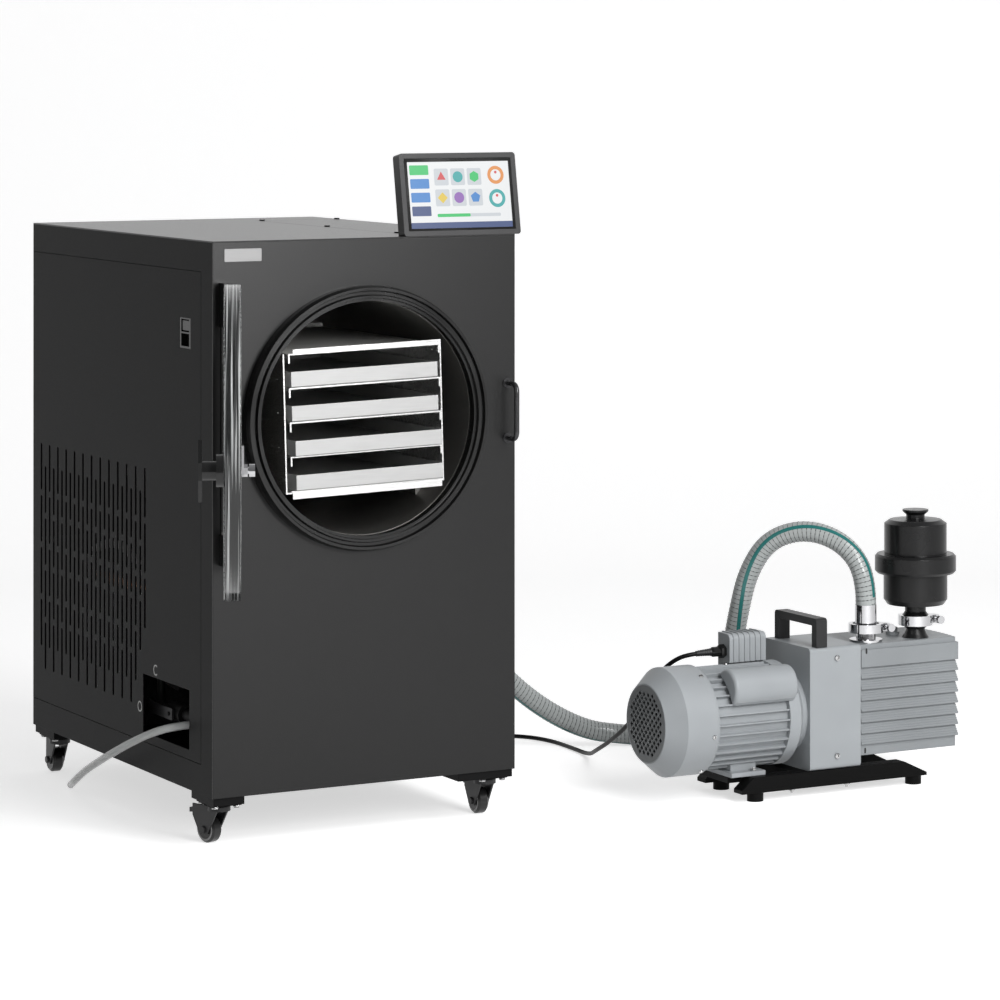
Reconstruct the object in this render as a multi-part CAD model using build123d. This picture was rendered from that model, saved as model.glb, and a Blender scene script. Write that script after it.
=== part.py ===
from build123d import *
import math
import os

# Cabinet freeze dryer with its two-stage rotary-vane vacuum pump. Millimetres, +Z up.
# Working frame: x from the cabinet's left side, y back from its front face, z from the floor.
# On export everything moves by (-ORIGIN_X, -ORIGIN_Y), so the origin is the bottom centre of the set.

# ---- cabinet
CAB_W, CAB_D, CAB_H = 500.0, 745.0, 820.0
CASTER_H, SKIRT_H = 64.0, 12.0
SHEET = 2.0
GAP = 0.3
SEAM = 1.0
SIDE_PANEL_Y0, SIDE_PANEL_BACK, SIDE_PANEL_LOW, SIDE_PANEL_TOP = 44.0, 2.0, 45.0, 47.0
LIP = 12.0
SLOT_W, SLOT_L, SLOT_PITCH, SLOT_ROW = 7.0, 76.0, 18.5, 84.5
SLOT_COLS, SLOT_FIRST_Y, SLOT_TOP = 25, 38.0, 387.0
DRAIN_Y0, DRAIN_L, DRAIN_Z0, DRAIN_H = 88.0, 182.0, 59.0, 89.0
INLET_Y0, INLET_W, INLET_Z0, INLET_H, INLET_DEEP = 84.0, 43.0, 656.0, 46.0, 34.0
COVER_X0, COVER_L, COVER_LIP = 350.0, 640.0, 12.0
DECK_Z = 304.0
POST = 20.0
# ---- chamber, rack, trays
CH_Z, CH_WALL, CH_L, CH_BACK = 550.0, 4.0, 500.0, 6.0
GASKET_W, GASKET_T, GASKET_BEAD = 23.5, 22.0, 6.0
COIL_R, COIL_N, COIL_Y0, COIL_PITCH = 4.8, 5, 80.0, 85.0
FOAM_T, FOAM_Y0, FOAM_L = 32.0, 70.0, 420.0
RACK_LEAN = -1.6
SHELF_HW, SHELF_L, SHELF_T, SHELF_PITCH, SHELF_TOP_Z, SHELF_LIP, SHELF_TAB = 125.0, 430.0, 2.2, 51.0, 104.0, 12.0, 2.4
RACK_Y0, RACK_WALL, RACK_BAR, RACK_LEFT_GAP, RACK_CLEAR = -5.0, 2.0, 6.0, 6.5, 5.92
TRAY_SIDE, TRAY_H, TRAY_L, TRAY_T, TRAY_EDGE = 4.0, 23.5, 424.0, 1.5, 1.6
TRAY_OUT = (0.0, 0.0, 10.0, 10.0)
# ---- door
PIN_X, PIN_Y, PIN_R, FIT = 16.5, -34.3, 4.0, 0.05
DOOR_OVER, DOOR_T, DOOR_FLAT, DOOR_GAP, DOOR_OPEN, DOOR_INSET = 22.5, 24.0, 33.0, 0.3, 113.3, 8.5
HINGE_Z0, HINGE_Z1, KNUCKLE_LOW, KNUCKLE_HIGH = 343.0, 759.0, 46.0, 65.0
LATCH_EDGE, LATCH_Z, STUD_R = 11.5, 532.0, 5.0
TONGUE_L, TONGUE_W, TONGUE_T = 34.0, 14.0, 3.0
CATCH_AWAY, CATCH_Z0, CATCH_Z1, CATCH_OUT, CATCH_R = 30.5, 508.0, 592.0, 32.0, 4.0
# ---- screen
SCREEN_X, SCREEN_W, SCREEN_H, SCREEN_T, SCREEN_TILT, BEZEL = 313.0, 198.0, 127.0, 21.0, 10.0, 8.0
# ---- casters
WHEEL_R, WHEEL_W, AXLE_R, TRAIL, KING_R, CHEEK = 20.0, 18.0, 3.0, 22.0, 4.0, 2.5
CASTER_IN_X, CASTER_IN_Y = 29.0, 44.0
CASTER_TURN = (18.0, 0.0, 0.0, -10.0)
# ---- pump
PUMP_Y, FOOT_H = -5.0, 6.0
COWL_X, COWL_FACE_R, COWL_R, COWL_CONE, COWL_L, COWL_T = 728.0, 62.0, 85.5, 28.0, 82.0, 2.0
GRILLE_R, GRILLE_PITCH, GRILLE_HOLE = 55.0, 13.0, 4.6
MOTOR_R, MOTOR_CORE_R, MOTOR_L, FIN_N, FIN_T = 81.0, 73.0, 135.0, 32, 2.4
BELL_L, SHAFT_R = 40.0, 7.0
COUPLER_L, COUPLER_Y0, COUPLER_Y1, COUPLER_TOP = 95.0, -77.0, 67.0, 233.0
OIL_GAP, OIL_L, OIL_Y0, OIL_Y1, OIL_Z0, OIL_TOP = 3.0, 187.0, -70.0, 60.0, 55.0, 231.0
RIB_PITCH, RIB_OUT, RIB_N, RIB_TOP = 17.5, 4.0, 7, 36.0
RAIL_Z0, RAIL_Z1, RAIL_X0, RAIL_X1 = 14.0, 39.0, 861.0, 1206.0
PORT_X, PORT_Y, FILTER_X = 1113.0, -40.0, 1208.0
HOSE_R, CORD_R, TUBE_R = 16.5, 3.5, 6.0

Z0 = CASTER_H + SKIRT_H
TRAY_W = 2 * (SHELF_HW - TRAY_SIDE)
ZT = Z0 + CAB_H
CZ = Z0 + CH_Z
RACK_HALF = SHELF_HW + GAP + RACK_LEFT_GAP + RACK_WALL
RACK_LOW = SHELF_TOP_Z - 4 * SHELF_PITCH - SHELF_T - RACK_WALL
CH_R = round(math.hypot(RACK_HALF, max(-RACK_LOW, SHELF_TOP_Z)) + RACK_CLEAR, 1)
GASKET_R = CH_R + GASKET_W
DOOR_R = GASKET_R + DOOR_OVER
CH_X = PIN_X + DOOR_INSET + DOOR_R
PUMP_Z = RAIL_Z1 + FOOT_H + MOTOR_R
DOOR_Y1 = -GASKET_T - DOOR_GAP
DOOR_Y0 = DOOR_Y1 - DOOR_T
LATCH_X = CH_X + DOOR_R - LATCH_EDGE
CATCH_X = LATCH_X + CATCH_AWAY
LZ = Z0 + LATCH_Z
MOTOR_X0 = COWL_X + COWL_L
BELL_X1 = MOTOR_X0 + MOTOR_L + BELL_L
COUPLER_X1 = BELL_X1 + COUPLER_L
OIL_X0 = COUPLER_X1 + OIL_GAP
OIL_X1 = OIL_X0 + OIL_L

parts = {}


def box(x0, x1, y0, y1, z0, z1):
    return Pos((x0 + x1) / 2, (y0 + y1) / 2, (z0 + z1) / 2) * Box(x1 - x0, y1 - y0, z1 - z0)


def cyl_x(y, z, x0, x1, r):
    return Pos((x0 + x1) / 2, y, z) * Rot(0, 90, 0) * Cylinder(r, x1 - x0)


def cyl_y(x, z, y0, y1, r):
    return Pos(x, (y0 + y1) / 2, z) * Rot(90, 0, 0) * Cylinder(r, y1 - y0)


def cyl_z(x, y, z0, z1, r):
    return Pos(x, y, (z0 + z1) / 2) * Cylinder(r, z1 - z0)


def turned(profile, axis):
    return revolve(make_face(Polyline(*profile, close=True)), axis)


def spun_x(points, y, z):
    # points are (x, radius); the piece is turned about a line along x through (y, z)
    return Pos(0, y, z) * turned([(a, r, 0) for a, r in points], Axis.X)


def spun_y(points, x, z):
    return Pos(x, 0, z) * turned([(r, a, 0) for a, r in points], Axis.Y)


def spun_z(points, x, y):
    return Pos(x, y, 0) * turned([(r, 0, a) for a, r in points], Axis.Z)


def prism_y(points, y0, y1):
    # points are (x, z), extruded from y0 to y1
    face = make_face(Polyline(*[(a, y0, b) for a, b in points], close=True))
    return extrude(face, amount=y1 - y0, dir=(0, 1, 0))


def prism_x(points, x0, x1):
    face = make_face(Polyline(*[(x0, a, b) for a, b in points], close=True))
    return extrude(face, amount=x1 - x0, dir=(1, 0, 0))


def radii_of(points):
    out = []
    for a, b, c in zip(points, points[1:], points[2:]):
        u, v = Vector(*b) - Vector(*a), Vector(*c) - Vector(*b)
        half = math.radians(u.get_angle(v)) / 2
        out.append(0.45 * min(u.length, v.length) / math.tan(half))
    return out


def tube(name, points, r):
    radii = radii_of(points)
    path = FilletPolyline(*points, radius=radii)
    start = path @ 0
    body = sweep(Plane(origin=start, z_dir=path % 0) * Circle(r), path=path)
    print(name, "length", round(path.length), "radii", [round(q) for q in radii],
          "volume ratio", round(body.volume / (math.pi * r * r * path.length), 4))
    return body


def pipe(points, r, bend):
    path = FilletPolyline(*points, radius=bend) if len(points) > 2 else Line(*points)
    return sweep(Plane(origin=path @ 0, z_dir=path % 0) * Circle(r), path=path)


def about_z(shape, x, y, degrees):
    return Pos(x, y, 0) * Rot(0, 0, degrees) * Pos(-x, -y, 0) * shape


# ---------------------------------------------------------------- cabinet shell
X1, Y1 = CAB_W - SHEET, CAB_D - SHEET
py0, py1 = SIDE_PANEL_Y0, CAB_D - SIDE_PANEL_BACK
pz0, pz1 = Z0 + SIDE_PANEL_LOW, ZT - SIDE_PANEL_TOP
deck = Z0 + DECK_Z
frame = box(0, SHEET, SHEET, CAB_D, Z0, ZT - SHEET) - box(0, SHEET, py0 - SEAM, py1 + SEAM, pz0 - SEAM, pz1 + SEAM)
lip = box(SHEET, 2 * SHEET, py0 - LIP, Y1, pz0 - LIP, pz1 + LIP)
lip -= box(SHEET, 2 * SHEET, py0 + LIP, Y1 - LIP, pz0 + LIP, pz1 - LIP)
frame = frame + lip + box(SHEET, X1, SHEET, Y1, Z0, Z0 + SHEET)
for px, sx in ((SHEET, 1), (X1, -1)):
    for py, sy in ((SHEET, 1), (Y1, -1)):
        if px == SHEET and sy < 0:
            px = 2 * SHEET
        xa, ya = sorted((px, px + sx * POST)), sorted((py, py + sy * SHEET))
        frame += box(xa[0], xa[1], ya[0], ya[1], Z0, ZT - SHEET)
        xa, ya = sorted((px, px + sx * SHEET)), sorted((py, py + sy * POST))
        frame += box(xa[0], xa[1], ya[0], ya[1], Z0, ZT - SHEET)
vac_x, vac_y, vac_z = 380.0, CH_L + 60.0, Z0 + 165.0
drain_x, drain_y = CH_X, 45.0
cold_x, cold_y = CH_X, COIL_Y0 + (COIL_N - 1) * COIL_PITCH
shelf = box(2 * SHEET, X1, SHEET, Y1, deck, deck + SHEET)
for hx, hy, hr in ((vac_x, vac_y, 14.3), (drain_x, drain_y, 6.3), (cold_x, cold_y, COIL_R + GAP)):
    shelf -= cyl_z(hx, hy, deck - 5, deck + 10, hr)
frame += shelf
foam_r = CH_R + CH_WALL + 2 * COIL_R + 3 * GAP / 2 + FOAM_T
for sy in (FOAM_Y0 + 20, FOAM_Y0 + FOAM_L - 50):
    saddle = box(CH_X - 150, CH_X + 150, sy, sy + 4, deck + SHEET, CZ - 0.62 * foam_r)
    frame += saddle - cyl_y(CH_X, CZ, sy - 1, sy + 5, foam_r + GAP)
SK = 3.0
sk_front, sk_back, sk_l, sk_r = (SK, 87.0), (CAB_D - 87.0, CAB_D - SK), (SK, 52.0), (CAB_W - 95.0, CAB_W - SK)
for xa in (sk_l, sk_r):
    for ya in (sk_front, sk_back):
        pan = box(xa[0], xa[1], ya[0], ya[1], CASTER_H, Z0)
        pan -= box(xa[0] + SHEET, xa[1] - SHEET, ya[0] + SHEET, ya[1] - SHEET, CASTER_H + 3, Z0)
        frame += pan
parts["cabinet_frame"] = frame

front = box(0, CAB_W, 0, SHEET, Z0, ZT - SHEET)
parts["front_panel"] = front - cyl_y(CH_X, CZ, -1, SHEET + 1, CH_R + CH_WALL + GAP)

side = box(0, SHEET, py0, py1, pz0, pz1)
for i in range(SLOT_COLS):
    y = py1 - SLOT_FIRST_Y + 2 - i * SLOT_PITCH
    rows = 3 if i >= SLOT_COLS - 2 else 4
    for k in range(rows):
        top = Z0 + SLOT_TOP + 76 - (36 if i % 2 else 0) - k * SLOT_ROW
        z = top - SLOT_L / 2
        slot = extrude(Plane(origin=(-1, y, z), x_dir=(0, 0, 1), z_dir=(1, 0, 0)) * SlotOverall(SLOT_L, SLOT_W), SHEET + 2)
        side -= slot
side -= box(-1, SHEET + 1, DRAIN_Y0, DRAIN_Y0 + DRAIN_L, Z0 + DRAIN_Z0, Z0 + DRAIN_Z0 + DRAIN_H)
side -= box(-1, SHEET + 1, INLET_Y0, INLET_Y0 + INLET_W, Z0 + INLET_Z0, Z0 + INLET_Z0 + INLET_H)
parts["left_vent_panel"] = side

right = box(X1, CAB_W, SHEET, CAB_D, Z0, ZT - SHEET)
parts["right_panel"] = right - cyl_x(vac_y, vac_z, X1 - 1, CAB_W + 1, 14.3)

back = box(SHEET, X1, Y1, CAB_D, Z0, ZT - SHEET)
for i in range(17):
    back -= box(90 + i * 20, 98 + i * 20, Y1 - 1, CAB_D + 1, Z0 + 50, Z0 + 250)
parts["back_panel"] = back

cy1 = COVER_L
top = box(0, CAB_W, 0, CAB_D, ZT - SHEET, ZT) - box(COVER_X0, CAB_W, 0, cy1, ZT - SHEET, ZT)
top += box(COVER_X0 - COVER_LIP, COVER_X0 + COVER_LIP, SHEET, cy1 + COVER_LIP, ZT - 2 * SHEET, ZT - SHEET)
top += box(COVER_X0, X1 - POST - 2, cy1 - COVER_LIP, cy1 + COVER_LIP, ZT - 2 * SHEET, ZT - SHEET)
parts["top_panel"] = top
parts["top_access_cover"] = box(COVER_X0 + SEAM, CAB_W, 0, cy1 - SEAM, ZT - SHEET, ZT)

gland_y, gland_z = 697.0, 101.0
bits = [cyl_z(COVER_X0 + 7, y, ZT, ZT + 2.2, 4.5) for y in (118.0, 375.0, cy1 - 8)]
bits += [cyl_z(CAB_W - 7, y, ZT, ZT + 2.2, 4.5) for y in (118.0, 375.0, cy1 - 8)]
bits.append(cyl_x(gland_y, gland_z, CAB_W, CAB_W + 4, 10.0) + cyl_x(gland_y, gland_z, CAB_W + 4, CAB_W + 12, 7.5))
parts["cabinet_fasteners"] = bits

# ---------------------------------------------------------------- chamber
lean = lambda s: Pos(CH_X, 0, CZ) * Rot(0, RACK_LEAN, 0) * s
vr = CH_R + CH_WALL
vessel = spun_y([(0, CH_R), (0, vr), (CH_L + CH_BACK, vr), (CH_L + CH_BACK, 0), (CH_L, 0), (CH_L, CH_R)], 0, 0)
shelf_zs = [SHELF_TOP_Z - i * SHELF_PITCH for i in range(5)]
rack_low = RACK_LOW
for s in (-1, 1):
    a, b = sorted((s * (SHELF_HW - 10), s * (SHELF_HW - 2)))
    rail = box(a, b, 70, 420, -CH_R, rack_low) & cyl_y(0, 0, 70, 420, CH_R + 1)
    vessel += rail
vessel = lean(vessel)
coil_c = vr + COIL_R + GAP / 2
jacket = spun_y([(FOAM_Y0, foam_r - FOAM_T), (FOAM_Y0, foam_r), (FOAM_Y0 + FOAM_L, foam_r),
                 (FOAM_Y0 + FOAM_L, foam_r - FOAM_T)], CH_X, CZ)
jacket -= cyl_z(cold_x, cold_y, CZ - foam_r - 5, CZ - coil_c, COIL_R + GAP)
parts["vacuum_chamber"] = [vessel, jacket]

bead = GASKET_T - GASKET_BEAD
g0 = CH_R + 0.5
parts["door_gasket"] = spun_y([(0, g0), (-bead, g0), (-bead, g0 + 4), (-GASKET_T, g0 + 5), (-GASKET_T, g0 + 8),
                               (-bead, g0 + 10), (-bead, GASKET_R - 9), (-GASKET_T, GASKET_R - 7),
                               (-GASKET_T, GASKET_R - 3), (-bead + 2, GASKET_R), (0, GASKET_R)], CH_X, CZ)

comp_x, comp_y, comp_r, comp_h = 330.0, 480.0, 75.0, 160.0
comp = fillet(cyl_z(comp_x, comp_y, Z0 + 14, Z0 + 14 + comp_h, comp_r).edges(), 30)
comp += box(comp_x - 85, comp_x + 85, comp_y - 85, comp_y + 85, Z0 + SHEET, Z0 + 5)
comp += cyl_z(comp_x, comp_y, Z0 + 4, Z0 + 30, 40)
parts["compressor"] = comp

cond_y, cond_top = 640.0, Z0 + 290.0
cond = box(60, 440, cond_y, cond_y + 50, Z0 + SHEET, cond_top)
for i in range(9):
    cond -= box(70, 430, cond_y + 6, cond_y + 51, Z0 + 20 + i * 30, Z0 + 38 + i * 30)

fan_x, fan_z, fan_r = 250.0, Z0 + 154.0, 110.0
shroud = box(100, 400, cond_y - 8, cond_y, Z0 + SHEET, cond_top) - cyl_y(fan_x, fan_z, cond_y - 9, cond_y + 1, fan_r + 6)
fmotor = cyl_y(fan_x, fan_z, cond_y - 80, cond_y - 38, 30.0) + cyl_y(fan_x, fan_z, cond_y - 39, cond_y - 8, 4.0)
fmotor += box(fan_x - 12, fan_x + 12, cond_y - 72, cond_y - 48, Z0 + SHEET, fan_z - 26)
parts["condenser"] = [cond, shroud, fmotor]
blades = cyl_y(fan_x, fan_z, cond_y - 34, cond_y - 12, 18.0)
for i in range(5):
    blade = Pos(0, 0, fan_r / 2 + 8) * Rot(0, 0, 35) * Box(34, 2.4, fan_r - 16)
    blades += Pos(fan_x, cond_y - 23, fan_z) * Rot(0, i * 72, 0) * blade
parts["condenser_fan"] = blades - cyl_y(fan_x, fan_z, cond_y - 60, cond_y, 4.0 + FIT)

coil = pipe([(cold_x, COIL_Y0, CZ - coil_c), (cold_x, cold_y, CZ - coil_c)], COIL_R - 0.9, 0)
for i in range(COIL_N):
    coil += Pos(CH_X, COIL_Y0 + i * COIL_PITCH, CZ) * Rot(90, 0, 0) * Torus(coil_c, COIL_R)
coil += pipe([(cold_x, cold_y, CZ - coil_c), (cold_x, cold_y, Z0 + 224), (comp_x, comp_y, Z0 + 224),
              (comp_x, comp_y, Z0 + 12 + comp_h)], COIL_R - 0.4, 16)
coil += pipe([(comp_x + comp_r - 5, comp_y, Z0 + 90), (430, comp_y, Z0 + 90), (430, cond_y, Z0 + 90)], COIL_R, 14)
coil += pipe([(75, cond_y, Z0 + 254), (75, cold_y, Z0 + 254), (cold_x, cold_y, Z0 + 254)], COIL_R, 26)
coil += cyl_y(75, Z0 + 254, 490, 580, 13.0)
parts["refrigerant_circuit"] = coil - parts["compressor"]

parts["control_unit"] = box(380, X1 - 4, 60, 220, Z0 + SHEET, Z0 + 226)

vx, vy, vz = 42.0, 221.0, Z0 + 92.0
hole = cyl_y(vx, vz, 100, 250, 3.0)
valve = cyl_y(vx, vz, 100, 250, 9.0) + cyl_y(vx, vz, vy - 24, vy + 24, 15.0)
valve += cyl_x(112, vz, 28, vx, TUBE_R - 1) + cyl_x(vy, vz, 30, vx, 6.0) + cyl_x(vy, vz, 20, 31, 3.0)
valve += pipe([(drain_x, drain_y, CZ - vr - 0.6), (drain_x, drain_y, Z0 + 264), (150, 150, Z0 + 264),
               (vx, 300, Z0 + 224), (vx, 300, vz), (vx, 249, vz)], 6.0, 18)
valve += box(vx - 4, vx + 4, 150, 170, Z0 + SHEET, vz)
parts["drain_valve"] = valve
lever = box(22, 27, vy - 12, vy + 60, vz - 9, vz + 9) + prism_x(
    [(vy + 55, vz - 9), (vy + 91, vz - 13), (vy + 91, vz + 13), (vy + 55, vz + 9)], 22, 27)
parts["drain_lever"] = lever - cyl_x(vy, vz, 20, 30, 3.0 + FIT)

port = pipe([(vac_x, CH_L + CH_BACK, CZ - 60), (vac_x, vac_y, CZ - 60), (vac_x, vac_y, vac_z),
             (CAB_W + 40, vac_y, vac_z)], 14.0, 30)
port += cyl_x(vac_y, vac_z, CAB_W, CAB_W + 5, 30.0) + cyl_x(vac_y, vac_z, CAB_W + 5, CAB_W + 40, HOSE_R)
parts["vacuum_port"] = port

# ---------------------------------------------------------------- rack, shelves, trays
ra, rb = RACK_Y0, RACK_Y0 + SHELF_L
rw = SHELF_HW + GAP
rack = None
for s in (-1, 1):
    reach = rw + (RACK_LEFT_GAP if s < 0 else 0)
    a, b = sorted((s * reach, s * (reach + RACK_WALL)))
    wall = box(a, b, ra, rb, rack_low, SHELF_TOP_Z)
    rack = wall if rack is None else rack + wall
rack += box(8 - rw, rw + RACK_WALL, ra, ra + 2, SHELF_TOP_Z, SHELF_TOP_Z + RACK_BAR)
rack += box(8 - rw, rw + RACK_WALL, rb - 2, rb, SHELF_TOP_Z, SHELF_TOP_Z + RACK_BAR)
rack += box(-rw - RACK_LEFT_GAP, rw, ra, rb, rack_low, rack_low + RACK_WALL)
rack += box(2 - rw, rw - 2, ra - 1.5, ra + 0.5, rack_low - 8, rack_low + RACK_WALL)
parts["rack_frame"] = lean(rack)
plates = []
for z in shelf_zs:
    plate = box(-SHELF_HW, SHELF_HW, ra, rb, z - SHELF_T, z)
    if z != shelf_zs[-1]:
        for s in (-1, 1):
            a, b = sorted((s * SHELF_HW, s * (SHELF_HW - SHELF_TAB)))
            plate += box(a, b, ra, ra + 1.5, z - SHELF_T - SHELF_LIP, z)
    plates.append(lean(plate))
parts["heater_shelves"] = plates
for i in range(4):
    z, y = shelf_zs[i + 1] + GAP, RACK_Y0 + 0.0 - TRAY_OUT[i]
    tray = box(-TRAY_W / 2, TRAY_W / 2, y, y + TRAY_L, z, z + TRAY_H)
    tray = chamfer(tray.edges().filter_by(Axis.X).group_by(Axis.Z)[0], TRAY_EDGE)
    tray -= box(-TRAY_W / 2 + TRAY_T, TRAY_W / 2 - TRAY_T, y + TRAY_T, y + TRAY_L - TRAY_T, z + TRAY_T, z + TRAY_H)
    parts[f"tray_{i + 1}"] = lean(tray)

# ---------------------------------------------------------------- door, latch, catch
hz0, hz1 = Z0 + HINGE_Z0, Z0 + HINGE_Z1
kz0, kz1 = hz0 + KNUCKLE_LOW, hz1 - KNUCKLE_HIGH
kn = PIN_R + 4.5
base = box(PIN_X - 3.5, PIN_X + 4.5, -3, 0, hz0, hz1) + cyl_z(PIN_X, PIN_Y, hz0, hz1, PIN_R)
for a, b in ((hz0, kz0), (kz1, hz1)):
    base += box(PIN_X - 7, PIN_X + 8, PIN_Y, 0, a, b) + cyl_z(PIN_X, PIN_Y, a, b, kn)
parts["door_hinge_base"] = base


def opened(shape):
    return about_z(shape, PIN_X, PIN_Y, -DOOR_OPEN)


flat_x = PIN_X + DOOR_FLAT
disc = fillet(cyl_y(CH_X, CZ, DOOR_Y0, DOOR_Y1, DOOR_R).edges(), 2.0)
disc -= box(CH_X - DOOR_R - 5, flat_x, DOOR_Y0 - 1, DOOR_Y1 + 1, CZ - DOOR_R, CZ + DOOR_R)
disc -= cyl_y(LATCH_X, LZ, DOOR_Y0 - 1, DOOR_Y1 + 1, STUD_R + FIT)
parts["door_panel"] = opened(disc)
half = math.sqrt(DOOR_R ** 2 - (CH_X - flat_x) ** 2) - 3
bar = cyl_z(PIN_X, PIN_Y, kz0 + GAP, kz1 - GAP, kn)
bar += box(PIN_X, flat_x, DOOR_Y0, DOOR_Y1, CZ - half, CZ + half)
bar += box(PIN_X + 12, flat_x + 18, DOOR_Y0 - 3, DOOR_Y0, CZ - half, CZ + half)
parts["door_hinge_bar"] = opened(bar - cyl_z(PIN_X, PIN_Y, kz0, kz1, PIN_R + FIT))

ly = DOOR_Y0
knob = cyl_y(LATCH_X, LZ, ly - 10, ly - 0.1, 23.0) + cyl_y(LATCH_X, LZ, ly - 29, ly - 10, 13.5)
knob += prism_y([(LATCH_X - 3, LZ - 42), (LATCH_X + 3, LZ - 42), (LATCH_X + 12, LZ - 12), (LATCH_X + 12, LZ + 12),
                 (LATCH_X + 3, LZ + 42), (LATCH_X - 3, LZ + 42), (LATCH_X - 12, LZ + 12), (LATCH_X - 12, LZ - 12)],
                ly - 34, ly - 29)
parts["latch_handle"] = opened(knob - cyl_y(LATCH_X, LZ, ly - 20, ly + 1, STUD_R))
ty = DOOR_Y1 + 0.4
tongue = cyl_y(LATCH_X, LZ, ly - 20, ty + 14, STUD_R)
tongue += box(LATCH_X - TONGUE_W / 2, LATCH_X + TONGUE_W / 2, ty, ty + TONGUE_T, LZ - 8, LZ + TONGUE_L)
nut = extrude(Plane(origin=(LATCH_X, ty + TONGUE_T, LZ), z_dir=(0, 1, 0)) * RegularPolygon(8.5, 6), 5)
tongue += nut + cyl_y(LATCH_X, LZ, ty + 10, ty + 18, 9.0)
parts["latch_tongue"] = opened(tongue)

ca, cb = Z0 + CATCH_Z0, Z0 + CATCH_Z1
catch = pipe([(CATCH_X, 0, ca), (CATCH_X, -CATCH_OUT, ca), (CATCH_X, -CATCH_OUT, cb), (CATCH_X, 0, cb)], CATCH_R, 12)
for z in (ca, cb):
    catch += cyl_y(CATCH_X, z, -2.5, 0, 8.0)
parts["door_catch"] = catch

# ---------------------------------------------------------------- screen
sx1 = SCREEN_X + SCREEN_W


def tilted(s):
    return Pos(0, 0, ZT) * Rot(-SCREEN_TILT, 0, 0) * s


case = fillet(box(SCREEN_X, sx1, 0, SCREEN_T, 0, SCREEN_H).edges().filter_by(Axis.Y), 5)
case -= box(SCREEN_X + BEZEL, sx1 - BEZEL, -1, 1.4, BEZEL, SCREEN_H - BEZEL)
case = tilted(case)
case += prism_x([(18, ZT + 0.1), (70, ZT + 0.1), (70, ZT + 4), (34, ZT + 10), (29, ZT + 70), (20, ZT + 70)],
                SCREEN_X + 50, SCREEN_X + 130)
parts["screen_case"] = case - box(SCREEN_X - 5, sx1 + 5, -5, 80, ZT - 20, ZT)
e = BEZEL + 0.2
parts["screen_panel"] = tilted(box(SCREEN_X + e, sx1 - e, 0.2, 1.4, e, SCREEN_H - e))

# ---------------------------------------------------------------- power inlet and switch
iy0, iy1, iz0, iz1 = INLET_Y0 + GAP, INLET_Y0 + INLET_W - GAP, Z0 + INLET_Z0 + GAP, Z0 + INLET_Z0 + INLET_H - GAP
inlet = box(0.4, INLET_DEEP, iy0, iy1, iz0, iz1)
inlet -= box(-1, 24, iy0 + 6, iy1 - 6, iz0 + 3, iz0 + 22)
for dy in (-8, 0, 8):
    m = (iy0 + iy1) / 2 + dy
    inlet += box(8, 25, m - 1, m + 1, iz0 + (9 if dy else 13), iz0 + (13 if dy else 17))
sw_x, sw_z, sw_h, sw_l = 9.0, iz1 - 11.5, 16.0, 28.0
sy = (iy0 + iy1) / 2
inlet -= box(-1, 17, sy - sw_l / 2 - 1, sy + sw_l / 2 + 1, sw_z - sw_h / 2 - 1.5, sw_z + sw_h / 2 + 1.5)
rocker = box(1.6, 12, sy - sw_l / 2, sy + sw_l / 2, sw_z - sw_h / 2, sw_z + sw_h / 2)
rocker = fillet(rocker.edges().filter_by(Axis.Y), 1.5) + cyl_y(sw_x, sw_z, sy - sw_l / 2 - 3, sy + sw_l / 2 + 3, 2.0)
parts["power_inlet"] = inlet - cyl_y(sw_x, sw_z, sy - sw_l / 2 - 3.5, sy + sw_l / 2 + 3.5, 2.0 + FIT)
parts["power_switch"] = rocker

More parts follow.
